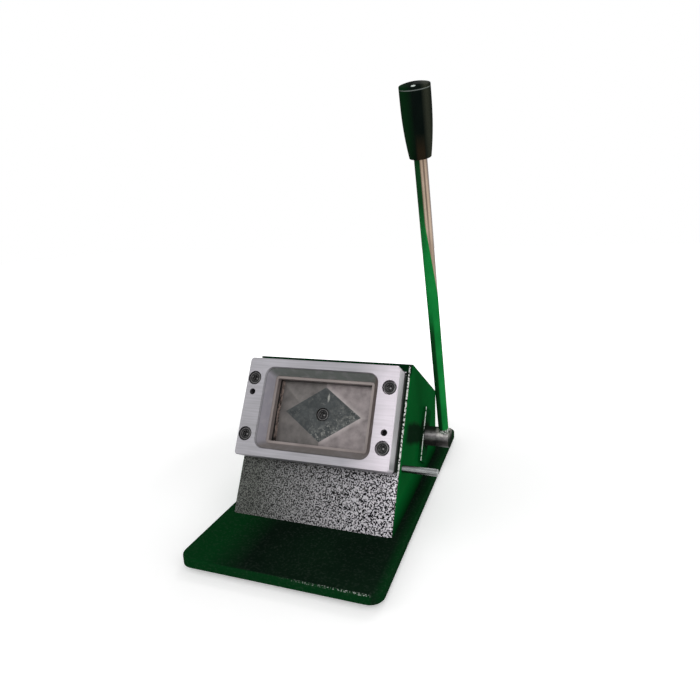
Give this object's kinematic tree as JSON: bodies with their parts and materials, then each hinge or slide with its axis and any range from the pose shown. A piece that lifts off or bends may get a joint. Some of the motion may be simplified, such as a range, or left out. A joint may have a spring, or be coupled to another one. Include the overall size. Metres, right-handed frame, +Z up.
{
  "type": "hand lever card cutter",
  "caption": "Desk-top hand lever die cutter that punches plastic identity cards from a sheet fed into a slot behind its sloping die plate.",
  "frame": {"origin": "under the middle of the outer box at rest, on the surface that the feet stand on", "axes": "+Z up; the sloping front with the die plate looks toward -Y; the lever stands on the +X side and is pulled toward -Y"},
  "size_m": [0.1794, 0.3, 0.3381],
  "materials": {
    "enamel": "deep green-black gloss enamel; the lower front panel is finished in silver and black hammertone",
    "foot_rubber": "matt black",
    "die_steel": "satin ground tool steel",
    "black_steel": "blackened, satin",
    "black_oxide": "black oxide steel",
    "bronze": "plain turned bronze",
    "lever_chrome": "bright polished",
    "grip_plastic": "glossy black",
    "punch_steel": "ground dark tool steel",
    "spring_steel": "drawn wire",
    "bright_steel": "turned or milled steel"
  },
  "bodies": {
    "frame": {"arm_screws": "black_oxide", "backing_plate": "bright_steel", "base_plate": "enamel", "base_screws": "black_oxide", "bearing_flange_left": "enamel", "bearing_flange_right": "enamel", "cover_screws": "black_oxide", "die_dowels": "bright_steel", "die_plate": "die_steel", "die_screws": "black_oxide", "flange_screws_left": "black_oxide", "flange_screws_right": "black_oxide", "foot_front_left": "foot_rubber", "foot_front_right": "foot_rubber", "foot_rear_left": "foot_rubber", "foot_rear_right": "foot_rubber", "foot_screws": "black_oxide", "guide_plate": "black_steel", "guide_post_left": "bright_steel", "guide_post_right": "bright_steel", "housing_shell": "enamel", "lever_stop_pin": "bright_steel", "post_clip_left": "bright_steel", "post_clip_right": "bright_steel", "post_washer_left": "bright_steel", "post_washer_right": "bright_steel", "rear_cover": "enamel", "return_spring_left": "spring_steel", "return_spring_right": "spring_steel", "shaft_bush_left": "bronze", "shaft_bush_right": "bronze", "side_arm_left": "bright_steel", "side_arm_right": "bright_steel", "spacer_strip_left": "black_steel", "spacer_strip_right": "black_steel"},
    "lever": {"cam_shaft": "black_oxide", "shaft_ring": "bright_steel", "shaft_collar": "bright_steel", "cam": "bright_steel", "cam_key": "bright_steel", "lever_rod": "lever_chrome", "lever_grip": "grip_plastic"},
    "ram": {"punch": "punch_steel", "punch_screw": "black_oxide", "ram_block": "bright_steel", "ram_bush_left": "bronze", "ram_bush_right": "bronze", "wear_pad": "bright_steel"}
  },
  "joints": [
    {"name": "lever_turn", "type": "hinge", "parent": "frame", "child": "lever", "pos_m": [-0.01142, 0.02709, 0.05344], "axis": [1, 0, 0], "range_deg": [0, 61]},
    {"name": "ram_slide", "type": "slide", "parent": "frame", "child": "ram", "axis": [0, -0.866, 0.5], "range_m": [0, 0.00906], "stiffness_N_per_m": 3000, "springref_m": -0.012, "deforming": ["return_spring_left", "return_spring_right"]}
  ],
  "couplings": [
    {"joint": "ram_slide", "follows": "lever_turn", "m_per_rad": 0.0085}
  ]
}
